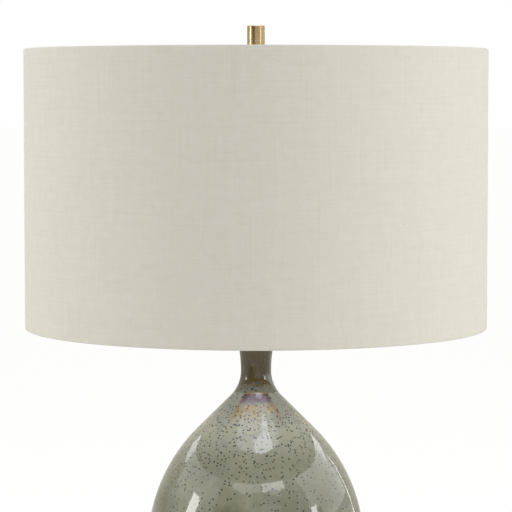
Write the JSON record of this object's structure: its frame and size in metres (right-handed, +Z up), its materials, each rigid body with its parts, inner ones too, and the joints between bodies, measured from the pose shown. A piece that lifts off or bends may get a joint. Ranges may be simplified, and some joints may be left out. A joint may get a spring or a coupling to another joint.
{
  "type": "table lamp",
  "caption": "Ceramic table lamp with a drop-shaped glazed body, a thin flared neck and a linen drum shade carried on a wire harp and held by a cylinder finial.",
  "frame": {"origin": "centre of the felt underside, on the surface that the lamp stands on", "axes": "+Z up along the lamp's axis, -Y towards the front, where the switch knob is; the cord outlet faces +Y and the harp lies in the XZ plane"},
  "size_m": [0.4569, 0.457, 0.66],
  "materials": {
    "felt": "matte",
    "ceramic_glaze": "gloss",
    "rubber": "matte",
    "zinc_steel": "satin",
    "bushing_plastic": "matte",
    "brushed_brass": "satin",
    "brass_plated_steel": "satin",
    "socket_brass": "satin",
    "insulating_paper": "matte",
    "phenolic": "satin",
    "frosted_glass": "satin",
    "bulb_cap_metal": "satin",
    "black_glass": "gloss",
    "solder": "satin",
    "shade_wire": "satin",
    "shade_lining": "matte",
    "linen": "matte"
  },
  "bodies": {
    "base": {"felt_pad": "felt", "ceramic_body": "ceramic_glaze", "base_gasket": "rubber", "base_washer": "zinc_steel", "base_lock_washer": "zinc_steel", "base_nut": "zinc_steel", "cord_bushing": "bushing_plastic", "threaded_rod": "zinc_steel", "neck_gasket": "rubber", "neck_cap": "brushed_brass", "neck_spacer": "brushed_brass", "top_nut": "zinc_steel", "harp_saddle": "brass_plated_steel", "harp": "brass_plated_steel", "socket_cap": "socket_brass", "socket_set_screw": "zinc_steel", "socket_shell": "socket_brass", "socket_insulator": "insulating_paper", "socket_interior": "phenolic", "screw_shell": "socket_brass", "centre_contact": "socket_brass", "terminal_screw_live": "socket_brass", "terminal_screw_neutral": "zinc_steel"},
    "switch": {"switch_shaft": "zinc_steel", "switch_knob": "phenolic"},
    "bulb_tip": {"bulb_tip_contact": "solder"},
    "bulb": {"bulb_glass": "frosted_glass", "bulb_screw_cap": "bulb_cap_metal", "bulb_base_insulator": "black_glass"},
    "ferrule_left": {"ferrule_left": "brass_plated_steel"},
    "ferrule_right": {"ferrule_right": "brass_plated_steel"},
    "shade": {"swivel_stud": "brushed_brass", "spider_hub": "brushed_brass", "spider_arms": "brass_plated_steel", "shade_top_ring": "shade_wire", "shade_bottom_ring": "shade_wire", "shade_liner": "shade_lining", "shade_fabric": "linen"},
    "finial_washer": {"finial_washer": "brushed_brass"},
    "finial": {"finial": "brushed_brass"}
  },
  "joints": [
    {"name": "shade_turn", "type": "hinge", "parent": "base", "child": "shade", "pos_m": [0, 0, 0.6179], "axis": [0, 0, 1], "continuous": true},
    {"name": "finial_turn", "type": "hinge", "parent": "shade", "child": "finial_washer", "pos_m": [0, 0, 0.6237], "axis": [0, 0, 1], "range_deg": [0, 2880]},
    {"name": "finial_rise", "type": "slide", "parent": "finial_washer", "child": "finial", "axis": [0, 0, 1], "range_m": [0, 0.00752]},
    {"name": "switch_turn", "type": "hinge", "parent": "base", "child": "switch", "pos_m": [0, -0.02, 0.415], "axis": [0, -1, 0], "continuous": true},
    {"name": "bulb_rise", "type": "slide", "parent": "base", "child": "bulb_tip", "axis": [0, 0, 1], "range_m": [0, 0.01633]},
    {"name": "bulb_turn", "type": "hinge", "parent": "bulb_tip", "child": "bulb", "pos_m": [0, 0, 0.43], "axis": [0, 0, 1], "range_deg": [0, 1620]},
    {"name": "ferrule_left_lift", "type": "slide", "parent": "base", "child": "ferrule_left", "axis": [0, 0, 1], "range_m": [0, 0.015]},
    {"name": "ferrule_right_lift", "type": "slide", "parent": "base", "child": "ferrule_right", "axis": [0, 0, 1], "range_m": [0, 0.015]}
  ],
  "couplings": [
    {"joint": "finial_turn", "follows": "finial_rise", "rad_per_m": 6679},
    {"joint": "bulb_turn", "follows": "bulb_rise", "rad_per_m": 1730.9}
  ]
}
